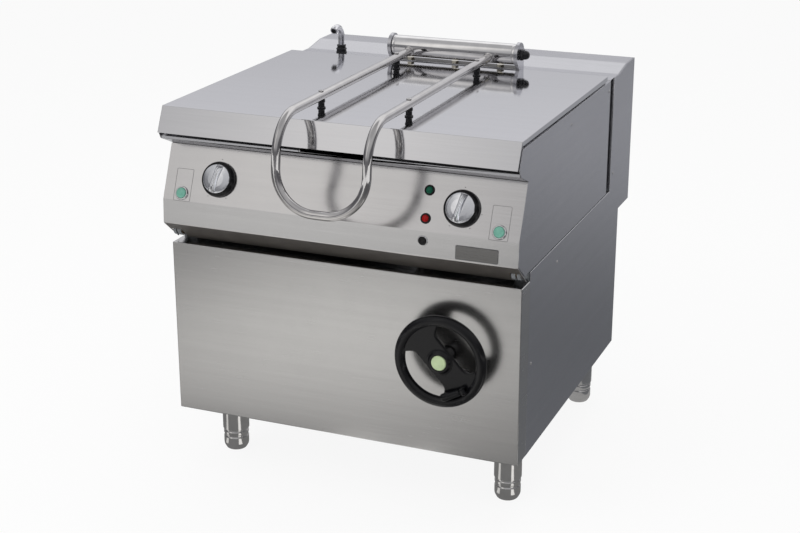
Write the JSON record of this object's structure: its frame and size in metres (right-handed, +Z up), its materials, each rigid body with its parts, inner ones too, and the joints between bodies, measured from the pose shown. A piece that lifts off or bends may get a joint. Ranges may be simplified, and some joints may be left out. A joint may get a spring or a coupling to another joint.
{
  "type": "tilting bratt pan",
  "caption": "Catering bratt pan on legs: a lidded pan with a pouring spout tips forward over its base by a geared handwheel.",
  "frame": {"origin": "on the floor under the middle of the whole object's box", "axes": "+X to the object's right seen from the front, +Y from front to rear, +Z up"},
  "size_m": [0.8, 0.9994, 0.913],
  "materials": {
    "body_steel": "satin brushed stainless steel",
    "door_steel": "brushed stainless steel",
    "panel_steel": "fine brushed stainless steel",
    "lid_steel": "soft mirror stainless steel",
    "pan_steel": "smooth stainless steel",
    "frame_steel": "grey painted steel",
    "polished_steel": "polished stainless steel",
    "leg_steel": "polished stainless tube",
    "black_plastic": "black glossy moulding",
    "cap_plastic": "pale yellow-green cap",
    "knob_silver": "satin metallic face",
    "green_plastic": "green push button",
    "green_lens": "green lens",
    "red_lens": "red lens",
    "chrome_bezel": "chromed ring",
    "tap_chrome": "chromed brass",
    "dark_metal": "black painted steel",
    "gear_steel": "machined gear steel",
    "cast_housing": "painted casting",
    "bronze": "bearing bronze",
    "rubber": "black rubber",
    "heater_metal": "oxidised heater sheath",
    "inlet_brass": "brass"
  },
  "bodies": {
    "base": {"base_frame": "frame_steel", "bottom_plate": "body_steel", "left_side_panel": "body_steel", "right_side_panel": "body_steel", "front_panel": "door_steel", "rear_panel": "body_steel", "pivot_brackets": "frame_steel", "pivot_pins": "gear_steel", "leg_tubes": "leg_steel", "flue_casing": "body_steel", "flue_front": "body_steel", "tap_body": "dark_metal", "worm_reducer": "cast_housing", "reducer_stand": "frame_steel", "shaft_bearing": "cast_housing", "cable_gland": "black_plastic", "water_inlet": "inlet_brass", "rest_buffers": "rubber"},
    "front_left_foot_body": {"front_left_foot": "leg_steel"},
    "front_right_foot_body": {"front_right_foot": "leg_steel"},
    "rear_left_foot_body": {"rear_left_foot": "leg_steel"},
    "rear_right_foot_body": {"rear_right_foot": "leg_steel"},
    "spout": {"tap_spout": "tap_chrome"},
    "wheel": {"handwheel": "black_plastic", "hub_cap": "cap_plastic", "wheel_shaft": "gear_steel"},
    "grip": {"crank_grip": "black_plastic"},
    "pinion": {"pinion_shaft": "gear_steel"},
    "pan": {"tilt_frame": "frame_steel", "pan_tank": "pan_steel", "pan_base_plate": "gear_steel", "heating_elements": "heater_metal", "heater_tray": "body_steel", "left_cheek": "body_steel", "right_cheek": "body_steel", "control_panel": "panel_steel", "top_deck": "body_steel", "pivot_bushes": "bronze", "tilt_sector": "gear_steel", "hinge_base": "body_steel", "hinge_bolts": "polished_steel", "torsion_bar": "gear_steel", "tension_nut": "dark_metal", "pilot_bezels": "black_plastic", "green_pilot_lens": "green_lens", "red_pilot_lens": "red_lens", "button_bezels": "chrome_bezel", "switch_bodies": "black_plastic"},
    "lid": {"lid_shell": "lid_steel", "lid_liner": "body_steel", "hinge_tube": "polished_steel", "lid_handle": "polished_steel", "handle_posts": "dark_metal"},
    "left_knob_body": {"left_knob": "black_plastic", "left_knob_face": "knob_silver"},
    "right_knob_body": {"right_knob": "black_plastic", "right_knob_face": "knob_silver"},
    "left_button_body": {"left_button": "green_plastic"},
    "right_button_body": {"right_button": "green_plastic"},
    "reset_body": {"reset_button": "black_plastic"}
  },
  "joints": [
    {"name": "body_tilt", "type": "hinge", "parent": "base", "child": "pan", "pos_m": [0, -0.33425, 0.574], "axis": [1, 0, 0], "range_deg": [0, 75]},
    {"name": "pinion_turn", "type": "hinge", "parent": "base", "child": "pinion", "pos_m": [0.153, 0.07865, 0.489], "axis": [1, 0, 0], "range_deg": [-703.2, 0]},
    {"name": "handwheel_turn", "type": "hinge", "parent": "base", "child": "wheel", "pos_m": [0.243, -0.39325, 0.379], "axis": [0, 1, 0], "range_deg": [0, 10547]},
    {"name": "crank_grip_fold", "type": "hinge", "parent": "wheel", "child": "grip", "pos_m": [0.29743, -0.40765, 0.32672], "axis": [-0.4384, 0, 0.8988], "range_deg": [0, 90]},
    {"name": "lid_open", "type": "hinge", "parent": "pan", "child": "lid", "pos_m": [0.03, 0.25375, 0.885], "axis": [1, 0, 0], "range_deg": [-80, 0]},
    {"name": "tap_swivel", "type": "hinge", "parent": "base", "child": "spout", "pos_m": [-0.301, 0.33975, 0.87], "axis": [0, 0, 1], "range_deg": [-120, 120]},
    {"name": "left_knob_turn", "type": "hinge", "parent": "pan", "child": "left_knob_body", "pos_m": [-0.273, -0.35627, 0.699], "axis": [0, -0.9221, 0.387], "range_deg": [-300, 0]},
    {"name": "right_knob_turn", "type": "hinge", "parent": "pan", "child": "right_knob_body", "pos_m": [0.273, -0.35627, 0.699], "axis": [0, -0.9221, 0.387], "range_deg": [-300, 0]},
    {"name": "left_button_press", "type": "slide", "parent": "pan", "child": "left_button_body", "axis": [0, 0.9221, -0.387], "range_m": [0, 0.003], "stiffness_N_per_m": 600, "springref_m": -0.001},
    {"name": "right_button_press", "type": "slide", "parent": "pan", "child": "right_button_body", "axis": [0, 0.9221, -0.387], "range_m": [0, 0.003], "stiffness_N_per_m": 600, "springref_m": -0.001},
    {"name": "reset_press", "type": "slide", "parent": "pan", "child": "reset_body", "axis": [0, 0.9984, -0.0565], "range_m": [0, 0.003], "stiffness_N_per_m": 600, "springref_m": -0.001},
    {"name": "front_left_foot_adjust", "type": "slide", "parent": "base", "child": "front_left_foot_body", "axis": [0, 0, -1], "range_m": [0, 0.03]},
    {"name": "front_right_foot_adjust", "type": "slide", "parent": "base", "child": "front_right_foot_body", "axis": [0, 0, -1], "range_m": [0, 0.03]},
    {"name": "rear_left_foot_adjust", "type": "slide", "parent": "base", "child": "rear_left_foot_body", "axis": [0, 0, -1], "range_m": [0, 0.03]},
    {"name": "rear_right_foot_adjust", "type": "slide", "parent": "base", "child": "rear_right_foot_body", "axis": [0, 0, -1], "range_m": [0, 0.03]}
  ],
  "couplings": [
    {"joint": "pinion_turn", "follows": "body_tilt", "ratio": -9.375},
    {"joint": "handwheel_turn", "follows": "body_tilt", "ratio": 140.62}
  ]
}
